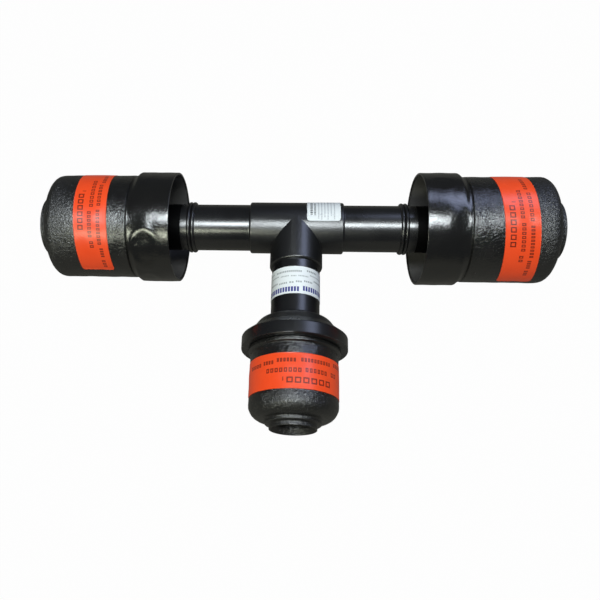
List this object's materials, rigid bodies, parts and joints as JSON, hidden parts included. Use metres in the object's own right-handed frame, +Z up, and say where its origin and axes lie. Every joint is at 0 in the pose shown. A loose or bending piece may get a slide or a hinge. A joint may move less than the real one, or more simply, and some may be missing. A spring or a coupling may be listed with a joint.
{
  "type": "reducing tee",
  "caption": "Black plastic reducing tee with a push-in pipe coupling and open rubber boot on each outlet, orange and white printed bands, and a smaller branch.",
  "frame": {"origin": "where the run's centre line and the branch's centre line cross, in the middle of the bore", "axes": "+X along the run to the right coupling, -Y along the branch, +Z up out of the plane of the tee"},
  "size_m": [0.6614, 0.3392, 0.144],
  "materials": {
    "tee": "semi-gloss moulded polyethylene",
    "housing": "semi-gloss moulded polyethylene",
    "sleeve": "satin moulded polyethylene",
    "collet": "matte acetal",
    "stiffener": "satin moulded nylon",
    "seal": "smooth nitrile rubber",
    "boot": "semi-gloss dipped rubber with a fine grain",
    "orange_film": "satin printed film",
    "white_film": "satin printed film"
  },
  "bodies": {
    "fitting": {"tee_body": "tee", "left_housing": "housing", "left_sleeve": "sleeve", "left_stiffener": "stiffener", "left_inner_seal": "seal", "left_outer_seal": "seal", "left_boot": "boot", "right_housing": "housing", "right_sleeve": "sleeve", "right_stiffener": "stiffener", "right_inner_seal": "seal", "right_outer_seal": "seal", "right_boot": "boot", "branch_housing": "housing", "branch_sleeve": "sleeve", "branch_stiffener": "stiffener", "branch_inner_seal": "seal", "branch_outer_seal": "seal", "branch_boot": "boot", "left_band": "orange_film", "right_band": "orange_film", "branch_band": "orange_film", "neck_label": "white_film", "hub_label": "white_film"},
    "left_collet": {"left_collet": "collet"},
    "right_collet": {"right_collet": "collet"},
    "branch_collet": {"branch_collet": "collet"}
  },
  "joints": [
    {"name": "left_collet_release", "type": "slide", "parent": "fitting", "child": "left_collet", "axis": [1, 0, 0], "range_m": [0, 0.004]},
    {"name": "right_collet_release", "type": "slide", "parent": "fitting", "child": "right_collet", "axis": [-1, 0, 0], "range_m": [0, 0.004]},
    {"name": "branch_collet_release", "type": "slide", "parent": "fitting", "child": "branch_collet", "axis": [0, 1, 0], "range_m": [0, 0.004]}
  ]
}
